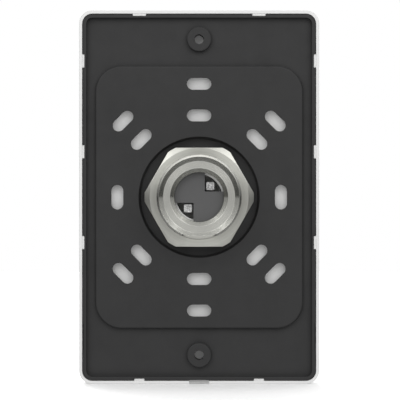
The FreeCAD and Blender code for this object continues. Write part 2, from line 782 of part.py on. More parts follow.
def make_cap_seal():
    """The lip seal in the bezel's groove, just clear of the cap."""
    slack = size("thread_fit")
    front = cup_front - size("bezel_lip") / 2 - size("seal_height") / 2 + slack
    rear = front + size("seal_height") - slack * 2
    outer = lip_r + size("seal_depth") - slack
    lip = cap_r + size("seal_lip_fit")
    heel = lip_r + size("cap_fit")
    third = size("seal_height") / 3
    corners = [(heel, rear), (outer, rear), (outer, front), (heel, front)]
    return turned("cap_seal", corners + [(lip, front + third), (lip, rear - third)])


def make_button_cap():
    """The pressed stainless cap: a skirt closed by a shallow dome of even thickness."""
    body = new_body("button_cap")
    sketch = profile_sketch(body, "profile")
    wall = size("cap_wall")
    inner_r = cap_r - wall
    rise = size("dome_rise").value
    dome_r = (cap_r.value ** 2 + rise ** 2) / (2 * rise)
    centre = Vector(0, cap_top.value + dome_r, 0)
    inside_edge = centre.y - math.sqrt((dome_r - wall.value) ** 2 - inner_r.value ** 2)
    skirt = [(cap_r, cap_edge), (cap_r, core_front), (inner_r, core_front)]
    places = [Vector(x.value, y.value, 0) for x, y in skirt]
    inner_edge = Vector(inner_r.value, inside_edge, 0)
    inner_top = Vector(0, cap_top.value + wall.value, 0)
    outer_top = Vector(0, cap_top.value, 0)
    down = Vector(0, 0, 1)
    start = math.degrees(math.atan2(places[0].y - centre.y, places[0].x))
    inner_start = math.degrees(math.atan2(inner_edge.y - centre.y, inner_edge.x))
    shapes = [
        Part.LineSegment(places[0], places[1]),
        Part.LineSegment(places[1], places[2]),
        Part.LineSegment(places[2], inner_edge),
        Part.ArcOfCircle(
            Part.Circle(centre, down, dome_r - wall.value), math.radians(-90), math.radians(inner_start)
        ),
        Part.LineSegment(inner_top, outer_top),
        Part.ArcOfCircle(Part.Circle(centre, down, dome_r), math.radians(-90), math.radians(start)),
    ]
    for shape in shapes:
        sketch.addGeometry(shape, False)
    for first, first_end, second, second_end in (
        (0, 2, 1, 1), (1, 2, 2, 1), (2, 2, 3, 2), (3, 1, 4, 1), (4, 2, 5, 1), (5, 2, 0, 1), (3, 3, 5, 3),
    ):
        sketch.addConstraint(Sketcher.Constraint("Coincident", first, first_end, second, second_end))
    pin(sketch, 0, 1, cap_r, cap_edge)
    pin(sketch, 0, 2, cap_r, core_front)
    pin(sketch, 1, 2, inner_r, core_front)
    sketch.addConstraint(Sketcher.Constraint("Vertical", 2))
    pin(sketch, 4, 1, ZERO, cap_top + wall)
    pin(sketch, 4, 2, ZERO, cap_top)
    sketch.addConstraint(Sketcher.Constraint("PointOnObject", 5, 3, -2))
    turn(body, sketch)
    round_edges(body, wall, circle_at(cap_r, cap_edge))
    return body


def make_cap_core():
    """The moulded core of the button: plug in the cap, stop flange, spring pocket and boss."""
    nose_r = core_boss_r + size("boss_clearance")
    nose_front = cap_top + size("cap_wall") * 2.0
    thread = size("screw_radius") + size("thread_fit")
    hole_end = plunger_rear - size("screw_length") - size("thread_fit") * 10.0
    return turned(
        "cap_core",
        [
            (thread, plunger_front),
            (core_boss_r, plunger_front),
            (core_boss_r, core_rear),
            (pocket_in_r, core_rear),
            (pocket_in_r, spring_front),
            (pocket_out_r, spring_front),
            (pocket_out_r, core_rear),
            (core_flange_r, core_rear),
            (core_flange_r, core_front),
            (core_plug_r, core_front),
            (core_plug_r, core_top),
            (nose_r, core_top),
            (nose_r, nose_front),
            (ZERO, nose_front),
            (ZERO, hole_end),
            (thread, hole_end),
        ],
    )


def key_blocks(label, height, half_width, rear, front):
    """Two ribs at the sides of the plunger's bore, reaching height beyond the bore's radius."""
    middle = size("sleeve_bore")
    half = height / 2 + size("key_height") / 2
    blocks = []
    for side in (1, -1):
        x = (middle + height - half) * side
        blocks.append(block(f"{label}_{len(blocks)}", half, half_width, rear, front, x=x))
    return blocks


def make_guide_sleeve():
    """The sleeve pushed into the barrel from the front, with two keyways for the plunger."""
    shoulder = cup_floor + size("sleeve_flange_thickness")
    rear = disc_front - size("thread_fit")
    bore = size("sleeve_bore")
    blank = turned(
        "sleeve_blank",
        [
            (bore, cup_floor),
            (sleeve_flange_r, cup_floor),
            (sleeve_flange_r, shoulder),
            (sleeve_r, shoulder),
            (sleeve_r, rear),
            (bore, rear),
        ],
    )
    height = size("key_height") + size("key_fit")
    half = size("key_width") / 2 + size("key_fit")
    ways = key_blocks("keyway", height, half, rear - size("sleeve_wall"), cup_floor - OVERRUN)
    return cut("guide_sleeve", blank, combined("MultiFuse", "keyways", ways))


def make_guide_disc():
    """The disc that closes the sleeve, open in two opposite quarters for the feet."""
    body = new_body("guide_disc")
    face = face_sketch(body, "face", -disc_rear)
    circle(face, ZERO, ZERO, neck_r - size("disc_fit"))
    pad(body, face, size("disc_thickness"))
    windows = face_sketch(body, "windows", -disc_rear)
    inset, far = size("window_inset"), neck_r + OVERRUN
    for side in (1, -1):
        a, b = inset * side, far * side
        polygon(windows, [(a, -a), (b, -a), (b, -b), (a, -b)])
    pocket(body, windows, size("disc_thickness"))
    return body


def foot_places():
    """The two opposite quarters that the feet stand in."""
    offset = size("foot_offset")
    return [(offset, -offset), (-offset, offset)]


def make_plunger():
    """The plunger: a keyed piston with a ring groove, a screw hole and two square sockets."""
    hole = size("screw_radius") + size("plunger_fit")
    wire = size("stem_ring_wire")
    middle = (plunger_front + plunger_rear) / 2
    groove_r = size("sleeve_bore") - size("stem_ring_fit") - wire * 2.0 - size("thread_fit")
    blank = turned(
        "plunger_blank",
        [
            (hole, plunger_rear),
            (plunger_r, plunger_rear),
            (plunger_r, middle + wire + size("thread_fit")),
            (groove_r, middle + wire + size("thread_fit")),
            (groove_r, middle - wire - size("thread_fit")),
            (plunger_r, middle - wire - size("thread_fit")),
            (plunger_r, plunger_front),
            (hole, plunger_front),
        ],
    )
    key_front = middle + wire * 2.0
    keys = key_blocks("plunger_key", size("key_height"), size("key_width") / 2, plunger_rear, key_front)
    keyed = combined("MultiFuse", "plunger_keyed", [blank] + keys)
    half = size("foot_size") / 2 + size("thread_fit")
    sockets = []
    for x, z in foot_places():
        front = plunger_rear - size("foot_socket")
        sockets.append(block(f"foot_socket_{len(sockets)}", half, half, plunger_rear + OVERRUN, front, x, z))
    return cut("plunger", keyed, combined("MultiFuse", "foot_sockets", sockets))


def make_actuator_feet():
    """The two square feet that push the contact block, each with a dimple in its end."""
    half = size("foot_size") / 2
    rear = disc_front + size("foot_stand")
    depth = size("foot_dimple")
    feet = []
    for x, z in foot_places():
        number = len(feet)
        front = plunger_rear - size("foot_socket") + size("thread_fit")
        post = block(f"foot_post_{number}", half, half, rear, front, x, z)
        dimple = cylinder(f"foot_dimple_{number}", size("foot_dimple"), depth * 2.0, rear - depth, x, z)
        feet.append(cut(f"foot_{number}", post, dimple))
    return combined("MultiFuse", "actuator_feet", feet)


def make_core_screw():
    """The cheese-head screw that holds the plunger on the core."""
    head_rear = plunger_rear + size("screw_head_height")
    tip = plunger_rear - size("screw_length")
    shank = size("screw_radius")
    blank = turned(
        "screw_blank",
        [
            (ZERO, head_rear),
            (size("screw_head"), head_rear),
            (size("screw_head"), plunger_rear),
            (shank, plunger_rear),
            (shank, tip + shank / 2),
            (shank / 2, tip),
            (ZERO, tip),
        ],
    )
    half = size("screw_slot") / 2
    slot_front = head_rear - size("screw_head_height") / 2
    drive = block("screw_drive", size("screw_head") + OVERRUN, half, head_rear + OVERRUN, slot_front)
    return cut("core_screw", blank, drive)


def make_return_spring():
    """The compression spring between its seat and the core: a round wire swept along a helix."""
    wire = size("spring_wire")
    seat_gap = size("thread_fit")
    start = spring_front + wire + seat_gap
    rise = spring_rear - wire - seat_gap - start
    helix = doc.addObject("Part::Helix", "spring_line")
    helix.Placement.Rotation = Rotation(Vector(1, 0, 0), -90)
    bind(helix, Radius=spring_r, Height=rise, Pitch=rise / size("spring_turns").value)
    bind(helix, Placement__Base__y=start)
    section = doc.addObject("Part::Circle", "spring_section")
    bind(section, Radius=wire, Placement__Base__x=spring_r, Placement__Base__y=start)
    doc.recompute()
    spring = doc.addObject("Part::Sweep", "return_spring")
    spring.Sections = [section]
    spring.Spine = (helix, [f"Edge{n}" for n in range(1, len(helix.Shape.Edges) + 1)])
    spring.Solid = True
    spring.Frenet = True
    return spring


def make_operator_rings():
    """The gasket, seat, bump ring and O-rings of the operator."""
    gasket_in = barrel_r + size("barrel_hole_fit")
    bump_in = pocket_out_r + size("pocket_wall")
    wire = size("o_ring_wire")
    seat_out = bump_in - size("cap_fit")
    stem_wire = size("stem_ring_wire")
    stem_r = size("sleeve_bore") - size("stem_ring_fit") - stem_wire
    thread = cup_outer_r + size("thread_fit")
    bezel_ring_r = thread + wire + size("thread_fit")
    bezel_ring_y = cup_floor - wire - size("thread_fit") * 2.0
    return [
        ring("panel_gasket", gasket_in, flange_r, gasket_rear, flange_rear),
        ring("spring_seat", size("sleeve_bore") + size("sleeve_lip"), seat_out, cup_floor, spring_rear),
        ring("bump_ring", bump_in, core_flange_r, cup_floor, cup_floor - size("bump_thickness")),
        make_o_ring("bezel_o_ring", bezel_ring_r, wire - size("thread_fit"), bezel_ring_y),
        make_o_ring("stem_o_ring", stem_r, stem_wire, (plunger_front + plunger_rear) / 2),
    ]


pieces = [
    make_back_plate(),
    make_front_cover(),
    make_barrel(),
    make_hex_nut(),
    make_lock_washer(),
    make_bezel_ring(),
    make_cap_seal(),
    make_button_cap(),
    make_cap_core(),
    make_guide_sleeve(),
    make_guide_disc(),
    make_plunger(),
    make_actuator_feet(),
    make_core_screw(),
    make_return_spring(),
    *make_operator_rings(),
]
doc.recompute()

faulty = [thing.Name for thing in doc.Objects if {"Invalid", "Error"} & set(thing.State)]
if faulty:
    raise RuntimeError(f"these objects failed: {faulty}")
for piece in pieces:
    if piece.Shape.isNull() or not piece.Shape.isValid():
        raise RuntimeError(f"{piece.Label} has no valid shape")

os.makedirs("parts", exist_ok=True)
for piece in pieces:
    piece.Shape.exportStep(os.path.join("parts", f"{piece.Label}.step"))
    print(f"{piece.Label}: {piece.Shape.Volume:.1f} mm3, {len(piece.Shape.Solids)} solid(s)")
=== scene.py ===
"""Looks of a wall push button: clip-on cover, moulded back plate and a turned 22 mm operator.

The frame's own parts keep their places. +Z is up, the button faces -Y and the wall is at +Y. Shapes are given in
millimetres in the fields below and turned into metres as each mesh is made.
"""

import logging
import math
from dataclasses import dataclass
from enum import Enum
from typing import Optional, Sequence, Union

import bpy
import numpy as np
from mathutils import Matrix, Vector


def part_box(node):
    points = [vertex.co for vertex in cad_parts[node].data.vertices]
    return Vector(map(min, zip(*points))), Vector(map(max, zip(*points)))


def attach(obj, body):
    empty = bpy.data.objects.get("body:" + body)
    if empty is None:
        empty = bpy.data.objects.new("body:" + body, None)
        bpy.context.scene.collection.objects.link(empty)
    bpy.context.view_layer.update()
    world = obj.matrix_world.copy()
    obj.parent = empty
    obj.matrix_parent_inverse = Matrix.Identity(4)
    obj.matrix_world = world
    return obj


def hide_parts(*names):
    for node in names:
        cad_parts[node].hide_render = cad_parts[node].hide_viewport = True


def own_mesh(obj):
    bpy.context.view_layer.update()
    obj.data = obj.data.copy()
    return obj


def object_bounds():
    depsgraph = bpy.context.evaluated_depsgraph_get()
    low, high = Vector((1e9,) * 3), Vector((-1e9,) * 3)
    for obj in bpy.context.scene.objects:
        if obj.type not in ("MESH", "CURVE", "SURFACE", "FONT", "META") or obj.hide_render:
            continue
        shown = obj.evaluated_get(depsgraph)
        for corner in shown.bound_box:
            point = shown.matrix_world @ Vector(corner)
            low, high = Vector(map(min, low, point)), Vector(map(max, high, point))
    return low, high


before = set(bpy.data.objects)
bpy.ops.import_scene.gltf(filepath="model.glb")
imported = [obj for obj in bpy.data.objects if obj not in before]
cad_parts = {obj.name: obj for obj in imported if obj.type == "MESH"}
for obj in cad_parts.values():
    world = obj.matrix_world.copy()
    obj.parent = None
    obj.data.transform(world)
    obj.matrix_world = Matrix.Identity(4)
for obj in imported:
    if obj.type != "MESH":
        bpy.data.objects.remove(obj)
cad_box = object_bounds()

log = logging.getLogger("push_button")

MM = 0.001
TAU = 2.0 * math.pi
Colour = tuple[float, float, float]
Socket = bpy.types.NodeSocket
Value = Union[float, Sequence[float], Socket]
Inputs = dict[Union[str, int], Value]


class Body(Enum):
    """The two rigid bodies of the part."""

    HOUSING = "housing"
    BUTTON = "button"


class Slot(Enum):
    """The record's material slots."""

    NICKEL = "nickel_plate"
    STAINLESS = "stainless"
    SPRING = "spring_steel"
    FEET = "foot_plastic"


# ---------------------------------------------------------------- node graphs


class Graph:
    """A shader node tree, with short calls that add nodes and join their sockets."""

    def __init__(self, tree: bpy.types.NodeTree) -> None:
        """Empties a node tree.

        Args:
            tree: the node tree of a material or of the world.
        """
        self.tree = tree
        self.tree.nodes.clear()

    def add(self, kind: str, inputs: Optional[Inputs] = None, **settings: object) -> bpy.types.Node:
        """Adds one node.

        Args:
            kind: the node's type name without its ShaderNode prefix.
            inputs: socket name or number to a constant or to another node's output.
            settings: the node's own properties.

        Returns:
            The new node.
        """
        node = self.tree.nodes.new(f"ShaderNode{kind}")
        for name, setting in settings.items():
            setattr(node, name, setting)
        for name, value in (inputs or {}).items():
            if isinstance(value, Socket):
                self.tree.links.new(value, node.inputs[name])
            else:
                node.inputs[name].default_value = value
        return node

    def math(self, operation: str, *values: Value) -> Socket:
        """One arithmetic step on numbers.

        Args:
            operation: the Math node's operation.
            values: its operands.

        Returns:
            The result's socket.
        """
        return self.add("Math", dict(enumerate(values)), operation=operation).outputs[0]

    def noise(self, point: Socket, size_mm: float, detail: float = 3.0, roughness: float = 0.5) -> Socket:
        """Even noise in space whose blotches are about size_mm wide, from 0 to 1."""
        inputs = {"Vector": point, "Scale": 1.0 / (size_mm * MM), "Detail": detail, "Roughness": roughness}
        return self.add("TexNoise", inputs).outputs["Fac"]

    def lines(self, distance: Socket, pitch_mm: float, detail: float = 4.0) -> Socket:
        """Noise along one distance only, so that it draws parallel lines about pitch_mm apart, from 0 to 1."""
        inputs = {"W": distance, "Scale": 1.0 / (pitch_mm * MM), "Detail": detail}
        return self.add("TexNoise", inputs, noise_dimensions="1D").outputs["Fac"]

    def spread(self, value: Socket, low: float, high: float, start: float = 0.3, end: float = 0.7) -> Socket:
        """Maps start..end on to low..high, held at both ends."""
        inputs = {"Value": value, "From Min": start, "From Max": end, "To Min": low, "To Max": high}
        return self.add("MapRange", inputs).outputs["Result"]

    def blend(self, share: Value, first: Value, second: Value) -> Socket:
        """A colour that goes from first to second as share goes from 0 to 1.

        Args:
            share: the mix, from 0 to 1.
            first: the colour at 0.
            second: the colour at 1.

        Returns:
            The mixed colour's socket.
        """
        node = self.add("Mix", data_type="RGBA")
        for name, value in (("Factor", share), ("A", first), ("B", second)):
            socket = next(s for s in node.inputs if s.name == name and s.enabled)
            if isinstance(value, Socket):
                self.tree.links.new(value, socket)
            else:
                socket.default_value = value
        return next(s for s in node.outputs if s.enabled)

    def finish(self, shader: bpy.types.Node, kind: str = "OutputMaterial") -> None:
        """Joins a shader to the tree's output."""
        self.add(kind, {"Surface": shader.outputs[0]})


def tinted(colour: Colour, factor: float) -> tuple[float, float, float, float]:
    """A colour made lighter or darker by a factor, with full alpha."""
    red, green, blue = (min(1.0, part * factor) for part in colour)
    return red, green, blue, 1.0


def edge_rounding_for_wear_and_shade(graph: Graph, radius_mm: float) -> tuple[Socket, Socket]:
    """Soft edges and where they are.

    Args:
        graph: the material's graph.
        radius_mm: how far the rounding reaches from an edge.

    Returns:
        The rounded normal, and a mask that is 1 on edges and 0 on flats.
    """
    soft = graph.add("Bevel", {"Radius": radius_mm * MM}, samples=4).outputs[0]
    plain = graph.add("NewGeometry").outputs["Normal"]
    same = graph.add("VectorMath", {0: soft, 1: plain}, operation="DOT_PRODUCT").outputs["Value"]
    return soft, graph.spread(same, 1.0, 0.0, 0.75, 0.99)


@dataclass(frozen=True)
class Moulded:
    """Injection-moulded plastic or rubber: faint flow marks, a spark-eroded grain, and edges whose colour is scaled
    by a factor: lighter as wear above 1, darker below 1 as painted shade in a gap.
    """

    name: str
    colour: Colour
    roughness: float = 0.5
    mottle: float = 0.12
    flow_mm: float = 14.0
    grain_mm: float = 0.22
    grain_depth_mm: float = 0.006
    edge_mm: float = 0.15
    edge_wear_and_shade: float = 1.25
    specular: float = 0.4
    coat: float = 0.0
    uneven: float = 0.055

    def material(self) -> bpy.types.Material:
        """Builds the material.

        Returns:
            A new material with this finish.
        """
        made = bpy.data.materials.new(self.name)
        made.use_nodes = True
        graph = Graph(made.node_tree)
        place = graph.add("TexCoord").outputs["Object"]
        flow = graph.noise(place, self.flow_mm, 4.0, 0.55)
        speck = graph.noise(place, self.grain_mm * 5.0, 2.0)
        both = graph.math("ADD", graph.math("MULTIPLY", flow, 0.7), graph.math("MULTIPLY", speck, 0.3))
        share = graph.spread(both, 0.0, 1.0)
        dark, light = tinted(self.colour, 1.0 - self.mottle), tinted(self.colour, 1.0 + self.mottle)
        soft, edge = edge_rounding_for_wear_and_shade(graph, self.edge_mm)
        body = graph.blend(share, dark, light)
        # Edges take the colour scaled by the edge factor: above 1 it is wear, below 1 it is painted shade.
        base = graph.blend(graph.math("MULTIPLY", edge, 0.6), body, tinted(self.colour, self.edge_wear_and_shade))
        grain = graph.noise(place, self.grain_mm, 2.0, 0.6)
        depth = self.grain_depth_mm * MM
        bump = graph.add("Bump", {"Strength": 1.0, "Distance": depth, "Height": grain, "Normal": soft})
        cloud = graph.noise(place, self.flow_mm * 0.3)
        rough = graph.spread(cloud, self.roughness - self.uneven, self.roughness + self.uneven)
        inputs = {
            "Base Color": base,
            "Roughness": rough,
            "Specular IOR Level": self.specular,
            "Coat Weight": self.coat,
            "Coat Roughness": 0.25,
            "Normal": bump.outputs[0],
        }
        graph.finish(graph.add("BsdfPrincipled", inputs))
        return made


@dataclass(frozen=True)
class Turned:
    """Lathe-turned or circle-brushed metal: fine rings round the Y axis, which stretch each highlight across them."""

    name: str
    colour: Colour
    roughness: float = 0.3
    anisotropy: float = 0.7
    ring_mm: float = 0.09
    ring_depth_mm: float = 0.0012
    stain: float = 0.08
    edge_mm: float = 0.12

    def material(self) -> bpy.types.Material:
        """Builds the material.

        The rings are noise along radius plus station. The tangent (z, 0, -x) runs along them, and a quarter turn
        lays the rough direction across them.

        Returns:
            A new material with this finish.
        """
        made = bpy.data.materials.new(self.name)
        made.use_nodes = True
        graph = Graph(made.node_tree)
        place = graph.add("TexCoord").outputs["Object"]
        parts = graph.add("SeparateXYZ", {0: place}).outputs
        flat = graph.add("CombineXYZ", {"X": parts["X"], "Z": parts["Z"]}).outputs[0]
        radius = graph.add("VectorMath", {0: flat}, operation="LENGTH").outputs["Value"]
        distance = graph.math("ADD", radius, parts["Y"])
        opposite = graph.math("MULTIPLY", parts["X"], -1.0)
        across = graph.add("CombineXYZ", {"X": parts["Z"], "Z": opposite}).outputs[0]
        along = graph.add("VectorMath", {0: across}, operation="NORMALIZE").outputs["Vector"]
        rings = graph.lines(distance, self.ring_mm)
        bands = graph.lines(distance, self.ring_mm * 9.0, 2.0)
        stains = graph.noise(place, 5.0, 4.0, 0.6)
        share = graph.math("ADD", graph.math("MULTIPLY", bands, 0.45), graph.math("MULTIPLY", stains, 0.55))
        dark, light = tinted(self.colour, 1.0 - self.stain), tinted(self.colour, 1.0 + self.stain)
        soft, edge = edge_rounding_for_wear_and_shade(graph, self.edge_mm)
        body = graph.blend(graph.spread(share, 0.0, 1.0), dark, light)
        base = graph.blend(graph.math("MULTIPLY", edge, 0.5), body, tinted(self.colour, 1.15))
        rough = graph.spread(rings, self.roughness - 0.05, self.roughness + 0.07)
        height = graph.math("ADD", rings, graph.math("MULTIPLY", bands, 2.0))
        depth = self.ring_depth_mm * MM
        bump = graph.add("Bump", {"Strength": 1.0, "Distance": depth, "Height": height, "Normal": soft})
        inputs = {
            "Base Color": base,
            "Metallic": 1.0,
            "Roughness": rough,
            "Anisotropic": self.anisotropy,
            "Anisotropic Rotation": 0.25,
            "Tangent": along,
            "Normal": bump.outputs[0],
        }
        graph.finish(graph.add("BsdfPrincipled", inputs))
        return made


@dataclass(frozen=True)
class Plated:
    """Zinc-plated or drawn steel: a mottled bright skin with fine pits."""

    name: str
    colour: Colour
    roughness: float = 0.35
    mottle: float = 0.15
    cell_mm: float = 0.7

    def material(self) -> bpy.types.Material:
        """Builds the material.

        Returns:
            A new material with this finish.
        """
        made = bpy.data.materials.new(self.name)
        made.use_nodes = True
        graph = Graph(made.node_tree)
        place = graph.add("TexCoord").outputs["Object"]
        cells = graph.add("TexVoronoi", {"Vector": place, "Scale": 1.0 / (self.cell_mm * MM)}).outputs["Distance"]
        cloud = graph.noise(place, self.cell_mm * 4.0, 4.0)
        share = graph.spread(graph.math("ADD", graph.math("MULTIPLY", cells, 0.4), cloud), 0.0, 1.0, 0.4, 1.0)
        dark, light = tinted(self.colour, 1.0 - self.mottle), tinted(self.colour, 1.0 + self.mottle)
        soft, edge = edge_rounding_for_wear_and_shade(graph, 0.1)
        body = graph.blend(share, dark, light)
        base = graph.blend(graph.math("MULTIPLY", edge, 0.5), body, tinted(self.colour, 1.25))
        pits = graph.noise(place, 0.15, 3.0)
        bump = graph.add("Bump", {"Strength": 1.0, "Distance": 0.003 * MM, "Height": pits, "Normal": soft})
        rough = graph.spread(cloud, self.roughness - 0.06, self.roughness + 0.1)
        inputs = {"Base Color": base, "Metallic": 1.0, "Roughness": rough, "Normal": bump.outputs[0]}
        graph.finish(graph.add("BsdfPrincipled", inputs))
        return made


@dataclass(frozen=True)
class PaleFloor:
    """A smooth pale floor with a faint sheen, which glows a little as a light table does."""

    name: str = "pale_floor"
    colour: Colour = (0.97, 0.97, 0.97)
    glow: float = 0.15

    def material(self) -> bpy.types.Material:
        """Builds the floor's material.

        Returns:
            A new material with this finish.
        """
        made = bpy.data.materials.new(self.name)
        made.use_nodes = True
        graph = Graph(made.node_tree)
        place = graph.add("TexCoord").outputs["Object"]
        share = graph.spread(graph.noise(place, 60.0), 0.0, 1.0)
        base = graph.blend(share, tinted(self.colour, 0.985), tinted(self.colour, 1.015))
        rough = graph.spread(graph.noise(place, 25.0), 0.6, 0.66)
        inputs = {
            "Base Color": base,
            "Roughness": rough,
            "Specular IOR Level": 0.04,
            "Emission Color": (1.0, 1.0, 1.0, 1.0),
            "Emission Strength": self.glow,
        }
        graph.finish(graph.add("BsdfPrincipled", inputs))
        return made


# ---------------------------------------------------------------- surfaces


def rounded(corners: np.ndarray, radii: Union[float, np.ndarray], closed: bool, steps: int = 4) -> np.ndarray:
    """Rounds the corners of an outline.

    Each corner becomes an arc that touches both of its sides. With t the radius times the tangent of half the
    turn, the arc starts t before the corner and ends t after it, and its points are the spherical blend of the
    two spokes from its centre. One more point stands just outside each end, so that flats shade flat.

    Args:
        corners: (n, 2) corner points in order.
        radii: rounding radius of each corner, or one for all. It is held to a third of the shorter side.
        closed: whether the outline returns to its start. An open one keeps its two ends.
        steps: points along each arc.

    Returns:
        (m, 2) points of the rounded outline.
    """
    before, after = np.roll(corners, 1, axis=0), np.roll(corners, -1, axis=0)
    back, ahead = before - corners, after - corners
    back_length = np.linalg.norm(back, axis=1, keepdims=True)
    ahead_length = np.linalg.norm(ahead, axis=1, keepdims=True)
    back, ahead = back / back_length, ahead / ahead_length
    turn = np.pi - np.arccos(np.clip((back * ahead).sum(1), -1.0, 1.0))
    turn = np.clip(turn, 1e-3, np.pi - 1e-3)[:, None]
    shortest = np.minimum(back_length, ahead_length) / 3.0
    reach = np.minimum(np.broadcast_to(radii, len(corners))[:, None] * np.tan(turn / 2), shortest)
    radius = reach / np.tan(turn / 2)
    start, end = corners + back * reach, corners + ahead * reach
    middle = back + ahead
    middle /= np.linalg.norm(middle, axis=1, keepdims=True)
    centre = corners + middle * (radius / np.cos(turn / 2))
    first, last = (start - centre) / radius, (end - centre) / radius
    share = np.linspace(0.0, 1.0, steps)[None, :, None]
    wide = turn[:, None]
    spokes = (np.sin((1 - share) * wide) * first[:, None] + np.sin(share * wide) * last[:, None]) / np.sin(wide)
    arcs = centre[:, None] + radius[:, None] * spokes
    hold_in = (start + back * reach * 0.3)[:, None]
    hold_out = (end + ahead * reach * 0.3)[:, None]
    points = np.concatenate([hold_in, arcs, hold_out], axis=1)
    if closed:
        return points.reshape(-1, 2)
    return np.concatenate([corners[:1], points[1:-1].reshape(-1, 2), corners[-1:]])


def grid_faces(rows: int, columns: int, loop_rows: bool) -> np.ndarray:
    """Four-sided faces of a grid whose columns close on themselves, and whose rows may too.

    Args:
        rows: rings of the grid.
        columns: points round each ring.
        loop_rows: whether the last ring joins the first.

    Returns:
        (n, 4) vertex numbers.
    """
    row = np.arange(rows if loop_rows else rows - 1)[:, None]
    column = np.arange(columns)[None, :]
    next_row, next_column = (row + 1) % rows, (column + 1) % columns
    corners = [row * columns + column, row * columns + next_column]
    corners += [next_row * columns + next_column, next_row * columns + column]
    return np.stack(np.broadcast_arrays(*corners), axis=-1).reshape(-1, 4)


def outward(points: np.ndarray, faces: list[list[int]]) -> list[list[int]]:
    """Turns a closed surface's faces outward, by the sign of its volume: the sum of a . (b x c) over a fan of each.

    Args:
        points: (n, 3) vertices.
        faces: vertex numbers of each face.

    Returns:
        The faces, reversed if the surface was inside out.
    """
    fans = np.array([face[:3] for face in faces] + [[f[0], f[2], f[3]] for f in faces if len(f) == 4])
    a, b, c = (points[fans[:, k]] for k in range(3))
    volume = np.einsum("ij,ij->i", a, np.cross(b, c)).sum()
    return faces if volume > 0 else [face[::-1] for face in faces]


def round_the_axis(radius: np.ndarray, station: np.ndarray, angle: np.ndarray) -> np.ndarray:
    """Points at a radius, a station along Y and an angle from +Z towards +X: (r sin a, y, r cos a).

    Args:
        radius: distances from the Y axis.
        station: places along Y.
        angle: angles in radians.

    Returns:
        (..., 3) points, in the units given.
    """
    radius, station, angle = np.broadcast_arrays(radius, station, angle)
    return np.stack([radius * np.sin(angle), station, radius * np.cos(angle)], axis=-1)


def new_piece(name: str, points: np.ndarray, faces: list[list[int]], sharp: float = 40.0) -> bpy.types.Object:
    """Makes a mesh object at the origin from points in millimetres.

    Args:
        name: the piece's name.
        points: (n, 3) vertices.
        faces: vertex numbers of each face, which are turned outward.
        sharp: edges that turn by more degrees than this stay crisp.

    Returns:
        The new object, smooth-shaded between its crisp edges.
    """
    mesh = bpy.data.meshes.new(name)
    mesh.from_pydata(points * MM, [], outward(points, faces))
    mesh.validate()
    mesh.polygons.foreach_set("use_smooth", np.ones(len(mesh.polygons), bool))
    mesh.set_sharp_from_angle(angle=math.radians(sharp))
    made = bpy.data.objects.new(name, mesh)
    bpy.context.scene.collection.objects.link(made)
    return made


def revolve(name: str, outline: np.ndarray, segments: int = 160) -> bpy.types.Object:
    """Turns an outline of (radius, station) points round the Y axis.

    A closed outline off the axis gives a ring. An outline whose two ends lie on the axis gives a solid of
    revolution, closed by a fan of triangles at each pole.

    Args:
        name: the piece's name.
        outline: (n, 2) points in millimetres.
        segments: points round the axis.

    Returns:
        The new object.
    """
    angle = np.linspace(0.0, TAU, segments, endpoint=False)[None, :]
    solid = outline[0, 0] < 1e-6 and outline[-1, 0] < 1e-6
    rings = outline[1:-1] if solid else outline
    points = round_the_axis(rings[:, :1], rings[:, 1:], angle).reshape(-1, 3)
    faces = grid_faces(len(rings), segments, not solid).tolist()
    if solid:
        poles = np.array([[0.0, outline[0, 1], 0.0], [0.0, outline[-1, 1], 0.0]])
        near = np.arange(segments)
        far = np.roll(near, -1)
        last = (len(rings) - 1) * segments
        first_pole = np.stack([far, near, np.full(segments, len(points))], axis=1)
        last_pole = np.stack([near + last, far + last, np.full(segments, len(points) + 1)], axis=1)
        faces += first_pole.tolist() + last_pole.tolist()
        points = np.concatenate([points, poles])
    return new_piece(name, points, faces)


def dress(node: Union[str, bpy.types.Object], finish: bpy.types.Material) -> None:
    """Gives a frame part or a new piece one finish.

    Args:
        node: a frame part's name, or an object.
        finish: the material.
    """
    if isinstance(node, str):
        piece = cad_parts[node]
        for place in piece.material_slots:
            place.material = finish
    else:
        piece = node
        piece.data.materials.append(finish)
    log.info("%s is dressed in %s", piece.name, finish.name)


def settle(piece: bpy.types.Object, body: Body, slot: Slot, *stands_for: str) -> None:
    """Fixes a new piece to its body and hides the frame parts that it replaces.

    Args:
        piece: the finished object.
        body: the rigid body it moves with.
        slot: the record's material slot; not used.
        stands_for: the frame parts that it replaces.
    """
    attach(piece, body.value)
    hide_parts(*stands_for)
    log.info("%s: %d faces, rides on %s", piece.name, len(piece.data.polygons), body.value)


# ---------------------------------------------------------------- sub-assemblies


@dataclass
class WallPlate:
    """The black back plate and the white cover that clips round it."""

    # The plate's edge factor of 0.8 darkens its edges: painted shade standing in for the dark gap between cover and
    # rim.
    plate: Moulded = Moulded(
        "black_moulding", (0.0305, 0.0305, 0.0308), roughness=0.6, mottle=0.08, grain_depth_mm=0.005, edge_wear_and_shade=0.8,
        edge_mm=0.1, specular=0.36,
    )
    cover: Moulded = Moulded(
        "white_moulding", (0.9, 0.9, 0.892), roughness=0.32, mottle=0.015, grain_depth_mm=0.002, edge_wear_and_shade=1.03,
        edge_mm=0.25, specular=0.5, coat=0.15, uneven=0.015,
    )

    def dress(self) -> None:
        """Gives both mouldings their plastic."""
        dress("back_plate", self.plate.material())
        dress("front_cover", self.cover.material())


